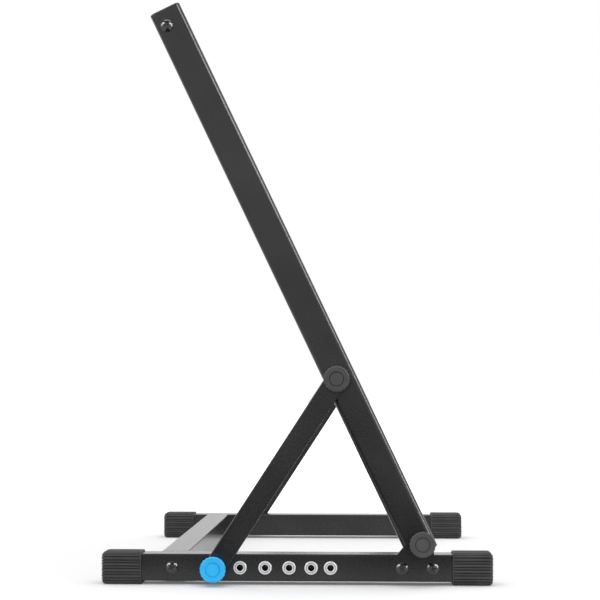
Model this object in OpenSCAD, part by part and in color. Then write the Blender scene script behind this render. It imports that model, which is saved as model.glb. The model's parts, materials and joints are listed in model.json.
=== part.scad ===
// Tilting table stand for rack equipment.
// Two upright arms lean back on a pair of base tubes. A flat strut on each side props
// the arm, and moves between six threaded holes along the base to set the lean.
// The origin is the middle of the footprint on the table.
// +X points to the front, where the user stands, +Y to the right side and +Z up.
// Every paired sub-part is drawn on the right side and mirrored for the left.

/* [Base] */
// Front to back length over the feet
base_len = 359; // [330:0.1:400]
// Side of the square base tube and of the rear crossbar
base_tube = 25; // [24:0.5:26]
// Wall of the square tubes
tube_wall = 1.5; // [1.2:0.1:1.8]
// Outer corner radius of the square tubes
tube_corner = 1.6; // [1.5:0.1:3]
// Distance between the outer faces of the two base tubes
base_width = 483.2; // [483:0.1:490]
// Distance of the rear crossbar behind the middle of the base
rear_bar_back = 114.4; // [105:0.1:120]

/* [Feet] */
// Length of a foot along the tube
foot_len = 37; // [34:0.1:42]
// Thickness of the foot at the two sides of the tube
foot_wall = 2.5; // [2:0.1:3]
// Thickness of the foot under the tube
foot_sole = 3.2; // [2.5:0.1:3.5]
// Thickness of the closed end of a foot
foot_end = 3; // [2:0.5:4]
// Corner radius of a foot
foot_corner = 3; // [2:0.1:4]

/* [Arms] */
// Lean of the arms back from upright at the lowest setting
lean = 25.45; // [25:0.05:26]
// Depth of an arm between its front and rear faces
arm_depth = 29.4; // [28:0.1:30]
// Width of an arm across the stand
arm_w = 15; // [14:0.1:15]
// Wall of an arm
arm_wall = 2.5; // [2:0.1:2.6]
// Outer corner radius of an arm
arm_corner = 4.8; // [3:0.1:5]
// Length of an arm above its pivot
arm_reach = 544.4; // [540:0.1:560]
// Length of an arm below its pivot
arm_toe = 8.2; // [8:0.1:9.5]
// Distance of the arm pivot in front of the middle of the base
pivot_x = 114.6; // [112:0.1:116]
// Height of the arm pivot over the base tube
pivot_rise = 10.6; // [10.5:0.1:12]
// Distance of the arm pivot from the rear face of the arm
pivot_inset = 17.5; // [16:0.1:18]
// Thickness of the end cap over the arm
cap_t = 1.6; // [1:0.1:2]

/* [Top crossbar] */
// Side of the square top crossbar
top_bar = 20; // [18:0.5:20]
// Distance of the top crossbar from the top end of the arms
top_bar_drop = 15.7; // [14:0.1:17]

/* [Rack holes] */
// Distance between the two rows of rack holes
rack_span = 465.1; // [465:0.1:465.2]
// Number of rack units
rack_units = 11; // [8:1:11]
// Height of one rack unit
rack_unit = 44.45; // [44.45:0.01:44.46]
// Bore radius of a rack hole tapped M6
rack_hole_r = 2.5; // [2.4:0.05:2.6]

/* [Struts] */
// Distance of the strut pivot up the arm
strut_rise = 168.3; // [160:0.1:175]
// Distance of the strut pivot behind the arm pivot, across the arm
strut_set = 5.8; // [4:0.1:7]
// Width of the flat strut
strut_w = 19.5; // [18:0.5:22]
// Thickness of the flat strut
strut_t = 4; // [3:0.5:5]
// Distance of the rearmost angle hole behind the middle of the base
first_hole_back = 75; // [70:0.1:80]
// Number of angle holes
angle_holes = 6; // [4:1:6]
// Change of lean from one angle hole to the next
angle_step = 4.96; // [4.5:0.01:5]

/* [Pivot brackets] */
// Thickness of the bracket plate
plate_t = 3; // [2.5:0.1:4]
// Radius of the round lobes at the two screws
plate_lobe_r = 11.8; // [11:0.1:12]
// Radius of the plate round the arm pivot
plate_tip_r = 10.8; // [9:0.1:11.5]
// Distance between the two bracket screws
plate_screw_pitch = 28; // [26:0.1:30]
// Distance of the rear bracket screw behind the arm pivot
plate_screw_back = 18.2; // [16:0.1:19]

/* [Knobs] */
// Diameter of a knob
knob_d = 23.8; // [22:0.1:25]
// Height of a knob
knob_h = 14; // [12:0.5:15]
// Number of finger scallops round a knob
knob_scallops = 20; // [12:1:24]
// Radius of the M6 stud
stud_r = 3; // [2.9:0.05:3]
// Radius of the washer under a knob
washer_r = 8; // [7:0.5:9]
// Thickness of the washer under a knob
washer_t = 1; // [0.8:0.1:1.2]

/* [Fasteners] */
// Radius of a screw head
screw_head_r = 5.6; // [5.5:0.1:6.5]
// Height of a screw head
screw_head_h = 3.6; // [3:0.1:4]
// Radius of the clearance hole for a screw
screw_hole_r = 3.2; // [3.1:0.05:3.5]
// Radius of a rivet nut body
rivet_r = 4.5; // [4.2:0.1:5]
// Radius of a rivet nut flange
rivet_flange_r = 6.1; // [6:0.1:7]
// Thickness of a rivet nut flange
rivet_flange_t = 1.2; // [1:0.1:1.2]

/* [Hidden] */
$fn = 48;

// Clearances: a turning fit on a stud, and the gap between pieces that move past each other
turning_gap = 0.05;
moving_gap = 0.3;
cut = 1;

// Base levels and faces on the right side
base_mid_z = foot_sole + base_tube / 2;
base_top_z = foot_sole + base_tube;
base_out = base_width / 2;
base_in = base_out - base_tube;
base_mid_y = base_out - base_tube / 2;
tube_len = base_len - 2 * foot_end;

// Arm faces on the right side, and the arm's own frame: along its length and across its depth
pivot_z = base_top_z + pivot_rise;
arm_out = rack_span / 2 + arm_w / 2;
arm_in = arm_out - arm_w;
arm_front = arm_depth - pivot_inset;
arm_mid = arm_front - arm_depth / 2;
top_bar_along = arm_reach - top_bar_drop;
top_bar_across = top_bar / 2 - pivot_inset;

// Rack holes: three to a unit, and the whole row ends just under the top crossbar
rack_first = 6.35;
rack_pitch = 15.875;
rack_holes_per_unit = 3;
rack_base = top_bar_along - top_bar / 2 - 1 - rack_units * rack_unit;

// The strut turns on the arm, and its lower hole meets the row of angle holes
function arm_point(along, across, tilt = 0) =
    let (a = lean - tilt)
    [pivot_x - along * sin(a) + across * cos(a), pivot_z + along * cos(a) + across * sin(a)];
strut_top = arm_point(strut_rise, -strut_set);
strut_foot = [-first_hole_back, base_mid_z];
strut_len = norm(strut_top - strut_foot);
strut_angle = atan2(strut_top[0] - strut_foot[0], strut_top[1] - strut_foot[1]);
function angle_hole_x(tilt) =
    let (s = arm_point(strut_rise, -strut_set, tilt))
    s[0] - sqrt(strut_len * strut_len - pow(s[1] - base_mid_z, 2));
angle_xs = [for (i = [0 : angle_holes - 1]) angle_hole_x(i * angle_step)];

// Layers outside the base tube and the arm on the right side
plate_out = base_out + plate_t;
strut_in = base_out + rivet_flange_t + moving_gap;
strut_out = strut_in + strut_t;
pivot_knob_y = plate_out + moving_gap + washer_t;
strut_knob_y = strut_out + moving_gap + washer_t;

// Places of the bracket screws along the base
plate_screw_xs = [pivot_x - plate_screw_back, pivot_x - plate_screw_back + plate_screw_pitch];

// Fastener lengths
rivet_len = 11;
stud_in_nut = 9;
stud_in_knob = 8;
long_screw = 40;
top_screw = 30;
bracket_screw = 12;
plug_len = 18;
nut_t = 5;
nut_across = 10;

// Colours as photographed
paint = "#333335";
rubber = "#4a4a4c";
black_plastic = "#58585a";
blue_plastic = "#2db4f0";
steel = "#e4e4e6";
black_steel = "#1c1c1e";
nylon = "#2a2a2c";

// Sides and frames
module left() mirror([0, 1, 0]) children();
module both_sides() { children(); left() children(); }

// The arm's own frame: X across the arm to the front, Z along it to the top
module arm_frame() translate([pivot_x, 0, pivot_z]) rotate([0, -lean, 0]) children();

// Outward frame on the right side: Z points out of the stand along +Y
module outward(x, y, z) translate([x, y, z]) rotate([-90, 0, 0]) children();

// Flat outlines
module rounded_rect(w, d, r) {
    square([w - 2 * r, d], center = true);
    square([w, d - 2 * r], center = true);
    for (x = [-1, 1], y = [-1, 1])
        translate([x * (w / 2 - r), y * (d / 2 - r)]) circle(r = r);
}

// Corner radius inside a tube, which stays above nothing on a sharp tube
function inside_corner(r, wall) = max(0.2, r - wall);

module tube_outline(w, d, wall, r) {
    difference() {
        rounded_rect(w, d, r);
        rounded_rect(w - 2 * wall, d - 2 * wall, inside_corner(r, wall));
    }
}

// Fastener shapes, with Z pointing out of the hole that they sit in
module pan_screw(len) {
    dome_r = 1.43 * screw_head_r;
    recess = [6.4, 1.5, 2.2];
    difference() {
        union() {
            intersection() {
                cylinder(r = screw_head_r, h = screw_head_h);
                translate([0, 0, screw_head_h - dome_r]) sphere(r = dome_r);
            }
            translate([0, 0, -len]) cylinder(r = stud_r, h = len);
        }
        for (turn = [0, 90])
            rotate(turn)
                translate([-recess[0] / 2, -recess[1] / 2, screw_head_h - recess[2]])
                    cube([recess[0], recess[1], recess[2] + cut]);
    }
}

module rivet_nut(grip, bore_r) {
    bulge_r = rivet_r + 0.8;
    bulge_h = 2.5;
    difference() {
        union() {
            cylinder(r = rivet_flange_r, h = rivet_flange_t);
            translate([0, 0, -rivet_len]) cylinder(r = rivet_r, h = rivet_len);
            translate([0, 0, -grip - bulge_h]) cylinder(r = bulge_r, h = bulge_h);
        }
        translate([0, 0, -rivet_len - cut])
            cylinder(r = bore_r, h = rivet_len + rivet_flange_t + 2 * cut);
    }
}

module hex_nut() {
    difference() {
        cylinder(r = nut_across / sqrt(3), h = nut_t, $fn = 6);
        translate([0, 0, -cut]) cylinder(r = stud_r + turning_gap, h = nut_t + 2 * cut);
    }
}

module washer(r, t) {
    difference() {
        cylinder(r = r, h = t);
        translate([0, 0, -cut]) cylinder(r = screw_hole_r, h = t + 2 * cut);
    }
}

module knob_head() {
    edge = 1.2;
    draft = 1.5;
    scallop_r = 1.5;
    scallop_depth = 0.45;
    ring = [6.9, 1, 0.8];
    difference() {
        union() {
            cylinder(d1 = knob_d - 2 * draft, d2 = knob_d, h = knob_h - edge);
            translate([0, 0, knob_h - edge])
                cylinder(d1 = knob_d, d2 = knob_d - 2 * edge, h = edge);
        }
        for (i = [0 : knob_scallops - 1])
            rotate(i * 360 / knob_scallops)
                translate([knob_d / 2 + scallop_r - scallop_depth, 0, -cut])
                    cylinder(r = scallop_r, h = knob_h + 2 * cut);
        translate([0, 0, knob_h - ring[2]])
            difference() {
                cylinder(r = ring[0], h = ring[2] + cut);
                translate([0, 0, -cut]) cylinder(r = ring[0] - ring[1], h = ring[2] + 3 * cut);
            }
        translate([0, 0, -cut]) cylinder(r = stud_r, h = stud_in_knob + cut);
    }
}

module knob_stud(reach) translate([0, 0, -reach]) cylinder(r = stud_r, h = reach + stud_in_knob);

// Base
module base_tube_piece() {
    color(paint)
    difference() {
        translate([-tube_len / 2, base_mid_y, base_mid_z])
            rotate([90, 0, 90])
                linear_extrude(tube_len) tube_outline(base_tube, base_tube, tube_wall, tube_corner);
        for (x = angle_xs)
            outward(x, base_mid_y, base_mid_z) cylinder(r = rivet_r, h = base_tube);
        for (x = plate_screw_xs)
            outward(x, base_mid_y, base_mid_z) cylinder(r = screw_hole_r, h = base_tube);
        outward(-rear_bar_back, base_in - cut, base_mid_z)
            cylinder(r = screw_hole_r, h = base_tube + 2 * cut);
    }
}

module rear_crossbar() {
    color(paint)
    translate([-rear_bar_back, base_in, base_mid_z])
        rotate([90, 0, 0])
            linear_extrude(2 * base_in) tube_outline(base_tube, base_tube, tube_wall, tube_corner);
}

module bar_plug(side, wall) {
    inside = side - 2 * wall;
    translate([0, 0, -plug_len])
        difference() {
            linear_extrude(plug_len)
                rounded_rect(inside, inside, inside_corner(tube_corner, wall));
            translate([0, 0, -cut]) cylinder(r = stud_r + turning_gap, h = plug_len + 2 * cut);
        }
}

module rear_crossbar_plugs() {
    color(nylon)
    both_sides() outward(-rear_bar_back, base_in, base_mid_z) bar_plug(base_tube, tube_wall);
}

module rear_crossbar_screws() {
    color(black_steel)
    both_sides() outward(-rear_bar_back, base_out, base_mid_z) pan_screw(long_screw);
}

// A foot's block, with its closed end at the origin and rounded, and Z along the tube
module foot_block(side) {
    end_round = 2.8;
    intersection() {
        linear_extrude(foot_len) rounded_rect(side, side, foot_corner);
        for_end_round(side) rounded_rect(side, 2 * foot_len, end_round);
        rotate(90) for_end_round(side) rounded_rect(side, 2 * foot_len, end_round);
    }
}

module for_end_round(side) {
    translate([0, side / 2 + cut, foot_len])
        rotate([90, 0, 0]) linear_extrude(side + 2 * cut) children();
}

module foot(end) {
    foot_side = base_tube + 2 * foot_wall;
    groove = [1.2, 0.9];
    pair_gap = 2.3;
    pair_pitch = 5.45;
    side_lift = 0.9;
    collar = 3;
    tip = 1.2;
    color(rubber)
    translate([end * base_len / 2, base_mid_y, foot_side / 2])
        rotate([90, 0, end > 0 ? -90 : 90])
            difference() {
                foot_block(foot_side);
                translate([0, base_mid_z - foot_side / 2, foot_end])
                    linear_extrude(foot_len) rounded_rect(base_tube, base_tube, tube_corner);
                for (turn = [0, 90, 180], pair = [-2 : 2], aside = [-0.5, 0.5])
                    rotate(turn)
                        translate([
                            foot_side / 2 - groove[1],
                            pair * pair_pitch + aside * pair_gap
                                + side_lift * cos(turn) - groove[0] / 2,
                            tip
                        ])
                            cube([groove[1] + cut, groove[0], foot_len - tip - collar]);
            }
}

module angle_nuts() {
    color(steel)
    for (x = angle_xs)
        outward(x, base_out, base_mid_z) rivet_nut(tube_wall, rack_hole_r);
}

// Pivot brackets
module plate_web() {
    rear = [plate_screw_xs[0], base_mid_z];
    front = [plate_screw_xs[1], base_mid_z];
    tip = [pivot_x, pivot_z];
    flank = (tip - rear) / norm(tip - rear);
    flank_out = [-flank[1], flank[0]];
    // The web's straight edges run just inside the round lobes
    inside = 0.985;
    lobe_edge = inside * plate_lobe_r;
    tip_edge = inside * plate_tip_r;
    polygon([
        rear + lobe_edge * flank_out,
        tip + tip_edge * flank_out,
        tip + [tip_edge, 0],
        [pivot_x + tip_edge, base_mid_z],
        front - [0, lobe_edge],
        rear - [0, lobe_edge]
    ]);
}

module pivot_bracket() {
    color(paint)
    difference() {
        union() {
            translate([0, plate_out, 0]) rotate([90, 0, 0]) linear_extrude(plate_t) plate_web();
            for (x = plate_screw_xs)
                outward(x, base_out, base_mid_z) cylinder(r = plate_lobe_r, h = plate_t);
            outward(pivot_x, base_out, pivot_z) cylinder(r = plate_tip_r, h = plate_t);
        }
        for (x = plate_screw_xs)
            outward(x, base_out - cut, base_mid_z)
                cylinder(r = screw_hole_r, h = plate_t + 2 * cut);
        outward(pivot_x, base_out - cut, pivot_z)
            cylinder(r = stud_r + turning_gap, h = plate_t + 2 * cut);
    }
}

module bracket_screws() {
    color(black_steel)
    for (x = plate_screw_xs)
        outward(x, plate_out, base_mid_z) pan_screw(bracket_screw);
}

module bracket_nuts() {
    color(steel)
    for (x = plate_screw_xs)
        outward(x, base_out - tube_wall - nut_t, base_mid_z) hex_nut();
}

// Arms
module arm_outline(hollow) {
    translate([arm_mid, arm_out - arm_w / 2])
        if (hollow) tube_outline(arm_depth, arm_w, arm_wall, arm_corner);
        else rounded_rect(arm_depth, arm_w, arm_corner);
}

module arm_side_hole(along, across, depth, r) {
    translate([across, arm_out + cut, along])
        rotate([90, 0, 0]) cylinder(r = r, h = depth + cut);
}

module arm() {
    color(paint)
    difference() {
        arm_frame()
            difference() {
                translate([0, 0, -arm_toe])
                    linear_extrude(arm_toe + arm_reach - cap_t) arm_outline(true);
                arm_side_hole(0, 0, arm_wall + cut, rivet_r);
                arm_side_hole(strut_rise, -strut_set, arm_wall + cut, rivet_r);
                arm_side_hole(top_bar_along, top_bar_across, arm_w + cut, screw_hole_r);
                for (unit = [0 : rack_units - 1], hole = [0 : rack_holes_per_unit - 1])
                    translate([
                        arm_front + cut,
                        rack_span / 2,
                        rack_base + unit * rack_unit + rack_first + hole * rack_pitch
                    ])
                        rotate([0, -90, 0]) cylinder(r = rack_hole_r, h = arm_wall + 2 * cut);
            }
        // The toe is cut level so that it clears the base tube
        translate([pivot_x - arm_depth, arm_in - cut, pivot_z - arm_toe - arm_depth])
            cube([2 * arm_depth, arm_w + 2 * cut, arm_depth]);
    }
}

module arm_cap() {
    plug_h = 8;
    color(nylon)
    arm_frame() {
        translate([0, 0, arm_reach - cap_t]) linear_extrude(cap_t) arm_outline(false);
        translate([arm_mid, arm_out - arm_w / 2, arm_reach - cap_t - plug_h])
            linear_extrude(plug_h)
                rounded_rect(arm_depth - 2 * arm_wall, arm_w - 2 * arm_wall, arm_corner - arm_wall);
    }
}

module top_crossbar() {
    color(paint)
    arm_frame()
        translate([top_bar_across, arm_in, top_bar_along])
            rotate([90, 0, 0])
                linear_extrude(2 * arm_in) tube_outline(top_bar, top_bar, tube_wall, tube_corner);
}

module top_crossbar_plugs() {
    color(nylon)
    both_sides()
        arm_frame()
            outward(top_bar_across, arm_in, top_bar_along) bar_plug(top_bar, tube_wall);
}

module top_crossbar_screws() {
    color(black_steel)
    both_sides()
        arm_frame() outward(top_bar_across, arm_out, top_bar_along) pan_screw(top_screw);
}

module pivot_nut() {
    color(steel)
    outward(pivot_x, arm_out, pivot_z) rivet_nut(arm_wall, stud_r + turning_gap);
}

module strut_nut() {
    color(steel)
    outward(strut_top[0], arm_out, strut_top[1]) rivet_nut(arm_wall, stud_r + turning_gap);
}

// Struts
module strut() {
    color(paint)
    translate([strut_foot[0], strut_in, strut_foot[1]])
        rotate([0, strut_angle, 0])
            rotate([-90, 0, 0])
                linear_extrude(strut_t)
                    difference() {
                        union() {
                            translate([-strut_w / 2, -strut_len]) square([strut_w, strut_len]);
                            circle(d = strut_w);
                            translate([0, -strut_len]) circle(d = strut_w);
                        }
                        circle(r = stud_r + turning_gap);
                        translate([0, -strut_len]) circle(r = stud_r + turning_gap);
                    }
}

module strut_spacer() {
    spacer_in = arm_out + rivet_flange_t + moving_gap;
    color(nylon)
    outward(strut_top[0], spacer_in, strut_top[1]) washer(rivet_flange_r, strut_in - spacer_in);
}

// Knobs, each with its steel stud and the washer under it
module pivot_place() outward(pivot_x, pivot_knob_y, pivot_z) children();
module strut_place() outward(strut_top[0], strut_knob_y, strut_top[1]) children();
module angle_place() outward(strut_foot[0], strut_knob_y, strut_foot[1]) children();

module knob(tint) color(tint) knob_head();
module stud(reach) color(steel) knob_stud(reach);
module knob_washer() color(nylon) translate([0, 0, -washer_t]) washer(washer_r, washer_t);

pivot_stud_reach = pivot_knob_y - arm_out + stud_in_nut;
strut_stud_reach = strut_knob_y - arm_out + stud_in_nut;
angle_stud_reach = strut_knob_y - strut_in;

left() base_tube_piece();  // left_base_tube
base_tube_piece();  // right_base_tube
rear_crossbar();
rear_crossbar_plugs();
rear_crossbar_screws();
left() foot(1);  // left_front_foot
left() foot(-1);  // left_rear_foot
foot(1);  // right_front_foot
foot(-1);  // right_rear_foot
left() angle_nuts();  // left_angle_nuts
angle_nuts();  // right_angle_nuts
left() pivot_bracket();  // left_pivot_bracket
pivot_bracket();  // right_pivot_bracket
left() bracket_screws();  // left_bracket_screws
bracket_screws();  // right_bracket_screws
left() bracket_nuts();  // left_bracket_nuts
bracket_nuts();  // right_bracket_nuts
left() arm();  // left_arm
arm();  // right_arm
left() arm_cap();  // left_arm_cap
arm_cap();  // right_arm_cap
top_crossbar();
top_crossbar_plugs();
top_crossbar_screws();
left() pivot_nut();  // left_pivot_nut
pivot_nut();  // right_pivot_nut
left() strut_nut();  // left_strut_nut
strut_nut();  // right_strut_nut
left() strut();  // left_strut
strut();  // right_strut
left() strut_spacer();  // left_strut_spacer
strut_spacer();  // right_strut_spacer
left() pivot_place() knob(black_plastic);  // left_pivot_knob
left() pivot_place() stud(pivot_stud_reach);  // left_pivot_stud
left() pivot_place() knob_washer();  // left_pivot_washer
pivot_place() knob(black_plastic);  // right_pivot_knob
pivot_place() stud(pivot_stud_reach);  // right_pivot_stud
pivot_place() knob_washer();  // right_pivot_washer
left() strut_place() knob(black_plastic);  // left_strut_knob
left() strut_place() stud(strut_stud_reach);  // left_strut_stud
left() strut_place() knob_washer();  // left_strut_washer
strut_place() knob(black_plastic);  // right_strut_knob
strut_place() stud(strut_stud_reach);  // right_strut_stud
strut_place() knob_washer();  // right_strut_washer
left() angle_place() knob(blue_plastic);  // left_angle_knob
left() angle_place() stud(angle_stud_reach);  // left_angle_stud
left() angle_place() knob_washer();  // left_angle_washer
angle_place() knob(blue_plastic);  // right_angle_knob
angle_place() stud(angle_stud_reach);  // right_angle_stud
angle_place() knob_washer();  // right_angle_washer
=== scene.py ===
"""Looks of a tilting table stand for rack equipment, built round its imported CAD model.

Sizes and places are millimetres, as on a workshop drawing, unless a line says otherwise.
Blender gets metres.
+X points to the front of the stand, +Y to its right side and +Z up.
"""

import json
import logging
import math
from collections.abc import Callable, Iterator, Sequence
from contextlib import contextmanager
from dataclasses import dataclass
from enum import Enum
from typing import Any

import bmesh
import bpy
from mathutils import Matrix, Vector


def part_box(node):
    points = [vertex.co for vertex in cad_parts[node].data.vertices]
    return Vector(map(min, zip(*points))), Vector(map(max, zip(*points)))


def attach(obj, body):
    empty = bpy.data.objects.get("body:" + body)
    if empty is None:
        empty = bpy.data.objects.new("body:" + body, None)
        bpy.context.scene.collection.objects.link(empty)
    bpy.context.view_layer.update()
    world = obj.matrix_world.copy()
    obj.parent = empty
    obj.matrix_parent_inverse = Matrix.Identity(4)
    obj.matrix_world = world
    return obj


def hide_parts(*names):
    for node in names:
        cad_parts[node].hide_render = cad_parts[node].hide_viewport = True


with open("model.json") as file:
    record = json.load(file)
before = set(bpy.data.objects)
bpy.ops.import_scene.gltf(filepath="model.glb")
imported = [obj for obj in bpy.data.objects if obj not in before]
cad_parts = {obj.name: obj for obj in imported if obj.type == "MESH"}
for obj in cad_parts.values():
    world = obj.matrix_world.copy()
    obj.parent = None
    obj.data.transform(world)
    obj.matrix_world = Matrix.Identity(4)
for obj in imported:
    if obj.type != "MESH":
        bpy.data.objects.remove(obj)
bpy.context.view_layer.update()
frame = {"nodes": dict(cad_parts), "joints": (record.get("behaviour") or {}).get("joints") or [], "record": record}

MM = 0.001
X_AXIS = Vector((1, 0, 0))
Y_AXIS = Vector((0, 1, 0))
Z_AXIS = Vector((0, 0, 1))
ORIGIN = (0.0, 0.0, 0.0)
UPRIGHT = (0.0, 0.0, 0.0)
LYING = (math.pi / 2, 0.0, 0.0)
# Points this near to a plane, in metres, count as lying in it.
HAIR = 1e-6
# Points this near to each other, in metres, are merged.
WELD = 1e-5
# Faces that meet at less than this angle, in degrees, lie in one plane.
FLAT = 0.5
RAMP_INPUTS = ("Value", "From Min", "From Max", "To Min", "To Max")

Numbers = Sequence[float]
Span = tuple[float, float]
Place = tuple[float, float, float]
Tree = bpy.types.NodeTree
Socket = bpy.types.NodeSocket
Vert = bmesh.types.BMVert
Edge = bmesh.types.BMEdge
Face = bmesh.types.BMFace
VertTest = Callable[[Vert], bool]
EdgeTest = Callable[[Edge], bool]
FaceTest = Callable[[Face], bool]

log = logging.getLogger("rack_stand")


def metres(point: Numbers) -> Vector:
    """Turns a point or size in millimetres into metres."""
    return Vector(point) * MM


def node_box(node: str) -> tuple[Vector, Vector]:
    """Gives the lowest and highest corner of a CAD node."""
    low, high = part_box(node)
    return low / MM, high / MM


def node_middle(node: str) -> Vector:
    """Gives the middle of a CAD node."""
    low, high = node_box(node)
    return (low + high) / 2


def outer_reach(node: str) -> float:
    """Gives how far a CAD node reaches from the stand's middle plane."""
    return max(abs(corner.y) for corner in node_box(node))


def linear(colour: str) -> tuple[float, float, float, float]:
    """Turns an sRGB hex colour into the linear colour that a shader takes.

    Args:
        colour: Six hex digits with a leading #.

    Returns:
        Red, green, blue and full opacity.
    """
    channels = [int(colour[i : i + 2], 16) / 255 for i in (1, 3, 5)]
    low = [c / 12.92 if c <= 0.04045 else ((c + 0.055) / 1.055) ** 2.4 for c in channels]
    return (low[0], low[1], low[2], 1.0)


class Side(Enum):
    """The two sides of the stand, with the sign of their Y."""

    LEFT = -1
    RIGHT = 1

    def __str__(self) -> str:
        """Gives the side's part of a node's name."""
        return self.name.lower()

    def outward(self, place: Numbers, spin: float = 0.0) -> Matrix:
        """Gives the place of a part that is drawn at the origin with Z out of the stand.

        Args:
            place: X, distance from the middle plane, and Z.
            spin: Turn about the outward axis in degrees.

        Returns:
            The matrix that moves the part to this side.
        """
        x, y, z = place
        at = Matrix.Translation(metres((x, self.value * y, z)))
        lay = Matrix.Rotation(-self.value * math.pi / 2, 4, "X")
        return at @ lay @ Matrix.Rotation(math.radians(spin), 4, "Z")


class Pick(Enum):
    """The kinds of mesh parts that a test can select."""

    VERT = "VERT"
    EDGE = "EDGE"
    FACE = "FACE"


def add_node(
    tree: Tree,
    kind: str,
    settings: dict[str, Any] | None = None,
    inputs: dict[Any, Any] | None = None,
) -> bpy.types.Node:
    """Adds a node with its settings, and fills or links its inputs.

    Args:
        tree: The node tree that gets the node.
        kind: Blender's name for the node's type.
        settings: Properties of the node.
        inputs: A value, or another node's output socket, for each named input.

    Returns:
        The new node.
    """
    made = tree.nodes.new(kind)
    for name, value in (settings or {}).items():
        setattr(made, name, value)
    for name, value in (inputs or {}).items():
        if isinstance(value, Socket):
            tree.links.new(value, made.inputs[name])
        else:
            made.inputs[name].default_value = value
    return made


def calculate(tree: Tree, operation: str, *values: Any) -> Socket:
    """Adds one of Blender's math operations on numbers and sockets."""
    inputs = dict(enumerate(values))
    return add_node(tree, "ShaderNodeMath", {"operation": operation}, inputs).outputs[0]


class Ease(Enum):
    """The ways in which a ramp runs from level to level."""

    STRAIGHT = "LINEAR"
    SOFT = "SMOOTHSTEP"

    def ramp(self, tree: Tree, value: Socket, span: Numbers, levels: Sequence[Any]) -> Socket:
        """Adds a ramp from one level to another.

        Args:
            tree: The node tree that gets it.
            value: What the ramp follows.
            span: The values at which it starts and ends.
            levels: The numbers or sockets that it runs between.

        Returns:
            The ramp's output.
        """
        inputs = dict(zip(RAMP_INPUTS, (value, *span, *levels)))
        settings = {"interpolation_type": self.value}
        return add_node(tree, "ShaderNodeMapRange", settings, inputs).outputs[0]


class Mix(Enum):
    """What a mix node mixes: Blender's name for it, its two inputs and its output."""

    COLOUR = ("RGBA", 6, 7, 2)
    LEVEL = ("FLOAT", 2, 3, 0)

    def lay(self, tree: Tree, share: Socket, first: Any, second: Any) -> Socket:
        """Adds a mix of two values or sockets.

        Args:
            tree: The node tree that gets it.
            share: How much of the second is in it.
            first: What share 0 gives.
            second: What share 1 gives.

        Returns:
            The mix's output.
        """
        kind, start, end, out = self.value
        inputs = {0: share, start: first, end: second}
        return add_node(tree, "ShaderNodeMix", {"data_type": kind}, inputs).outputs[out]


def seen_ray(tree: Tree, ray: bpy.types.Node) -> Socket:
    """Gives 1 for rays that come from the camera, straight or through glass."""
    outs = ray.outputs
    return calculate(tree, "MAXIMUM", outs["Is Camera Ray"], outs["Is Transmission Ray"])


@dataclass(frozen=True)
class Finish:
    """A surface finish with a slow drift of tone, a grain in its gloss and a relief.

    The colour runs between the two tones, and the roughness between the two levels of rough.
    Drift and grain are the widths of the two patterns, and relief is the grain's height and
    the strength of its bump.
    """

    name: str
    slot: str
    tones: tuple[str, str]
    drift: float
    grain: float
    relief: Span
    rough: Span
    metallic: float = 0.0
    ior: float = 1.5
    drift_detail: float = 3.0
    grain_detail: float = 2.0
    grain_share: float = 0.5
    tone_span: Span = (0.5, 1.0)
    gloss_span: Span = (0.3, 0.7)

    def material(self) -> bpy.types.Material:
        """Gives the finish as a Blender material, made on its first use.

        Returns:
            The material.
        """
        known = bpy.data.materials.get(self.name)
        if known:
            return known
        made = bpy.data.materials.new(self.name)
        made.use_nodes = True
        self.lay(made.node_tree, made.node_tree.nodes["Principled BSDF"])
        return made

    def noise(self, tree: Tree, place: Socket, width: float, detail: float) -> Socket:
        """Adds a noise whose cells are so many millimetres wide."""
        inputs = {"Vector": place, "Scale": 1.0 / (width * MM), "Detail": detail}
        return add_node(tree, "ShaderNodeTexNoise", inputs=inputs).outputs["Fac"]

    def lay(self, tree: Tree, shader: bpy.types.Node) -> None:
        """Lays the drift, the grain and the relief on a new material.

        Args:
            tree: The material's node tree.
            shader: Its surface shader.
        """
        place = add_node(tree, "ShaderNodeTexCoord").outputs["Object"]
        drift = self.noise(tree, place, self.drift, self.drift_detail)
        grain = self.noise(tree, place, self.grain, self.grain_detail)
        mottle = calculate(tree, "MULTIPLY_ADD", grain, self.grain_share, drift)
        share = Ease.STRAIGHT.ramp(tree, mottle, self.tone_span, (0.0, 1.0))
        height, strength = self.relief
        relief = {"Strength": strength, "Distance": height * MM, "Height": grain}
        bump = add_node(tree, "ShaderNodeBump", inputs=relief)
        for name, socket in (
            ("Base Color", Mix.COLOUR.lay(tree, share, *map(linear, self.tones))),
            ("Roughness", Ease.STRAIGHT.ramp(tree, grain, self.gloss_span, self.rough)),
            ("Normal", bump.outputs[0]),
        ):
            tree.links.new(socket, shader.inputs[name])
        shader.inputs["Metallic"].default_value = self.metallic
        if not self.metallic:
            shader.inputs["IOR"].default_value = self.ior


# The grains below are drawn wider than the real ones, so that they show at all.

# Polyester powder, sprayed and baked: an even satin black with a faint orange peel.
# The real peel is about 0.8 mm wide, and is drawn at twice that.
POWDER_COAT = Finish(
    name="polyester_powder_coat_baked_satin_black",
    slot="powder_coat",
    tones=("#0c0c0d", "#272728"),
    drift=60.0,
    grain=1.6,
    relief=(0.08, 1.0),
    rough=(0.2, 0.26),
)

# Synthetic rubber, pressed in a blasted mould: dull dark grey that dust makes paler.
MOULDED_RUBBER = Finish(
    name="synthetic_rubber_moulded_dull",
    slot="rubber",
    tones=("#282829", "#3a3a3b"),
    drift=14.0,
    grain=0.9,
    relief=(0.05, 0.5),
    rough=(0.55, 0.75),
    ior=1.52,
)

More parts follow.
